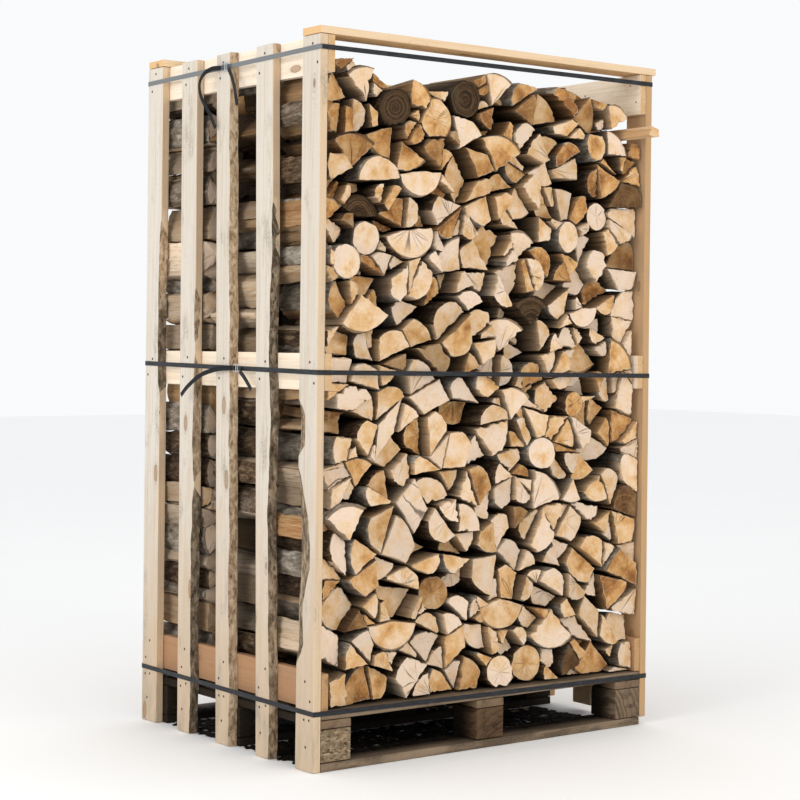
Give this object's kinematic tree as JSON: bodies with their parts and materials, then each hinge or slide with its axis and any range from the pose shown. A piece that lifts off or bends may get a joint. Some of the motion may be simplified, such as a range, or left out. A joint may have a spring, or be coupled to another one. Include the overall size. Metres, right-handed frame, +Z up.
{
  "type": "crate of firewood",
  "caption": "Tall slatted wooden crate on a block pallet, open front and back, filled with stacked split firewood and held by flat straps.",
  "frame": {"origin": "centre of the pallet's underside, on the floor", "axes": "+Z up, +X to the right along the open front, +Y to the back"},
  "size_m": [1.1656, 0.9273, 1.82],
  "materials": {
    "slat_wood": "rough sawn pale softwood with bark left on some edges",
    "rail_wood": "rough sawn softwood",
    "pallet_wood": "weathered rough sawn boards",
    "block_wood": "pressed chip blocks at the left, sawn solid blocks elsewhere",
    "log_wood": "split hardwood with sawn ends and patches of bark",
    "strap_plastic": "dark embossed strapping with a soft sheen",
    "buckle_steel": "galvanised wire"
  },
  "bodies": {
    "root": {"bottom_board_front": "pallet_wood", "block_front_left": "block_wood", "block_front_middle": "block_wood", "block_front_right": "block_wood", "bottom_board_middle": "pallet_wood", "block_middle_left": "block_wood", "block_middle_middle": "block_wood", "block_middle_right": "block_wood", "bottom_board_back": "pallet_wood", "block_back_left": "block_wood", "block_back_middle": "block_wood", "block_back_right": "block_wood", "stringer_left": "pallet_wood", "stringer_middle": "pallet_wood", "stringer_right": "pallet_wood", "deck_board_1": "pallet_wood", "deck_board_2": "pallet_wood", "deck_board_3": "pallet_wood", "deck_board_4": "pallet_wood", "deck_board_5": "pallet_wood", "deck_board_6": "pallet_wood", "left_slat_1": "slat_wood", "left_slat_2": "slat_wood", "left_slat_3": "slat_wood", "left_slat_4": "slat_wood", "left_slat_5": "slat_wood", "left_rail_bottom": "rail_wood", "left_rail_middle": "rail_wood", "left_rail_top": "rail_wood", "right_slat_1": "slat_wood", "right_slat_2": "slat_wood", "right_slat_3": "slat_wood", "right_slat_4": "slat_wood", "right_slat_5": "slat_wood", "right_rail_bottom": "rail_wood", "right_rail_middle": "rail_wood", "right_rail_top": "rail_wood", "top_bar_front": "slat_wood", "top_bar_back": "slat_wood", "logs_front_row": "log_wood", "logs_middle_row": "log_wood", "logs_back_row": "log_wood", "stray_split": "log_wood", "top_strap": "strap_plastic", "middle_strap": "strap_plastic", "bottom_strap": "strap_plastic", "top_buckle": "buckle_steel", "middle_buckle": "buckle_steel", "bottom_buckle": "buckle_steel", "top_strap_tail_back": "strap_plastic", "top_strap_tail_front": "strap_plastic", "middle_strap_tail_back": "strap_plastic", "middle_strap_tail_front": "strap_plastic"}
  },
  "joints": []
}
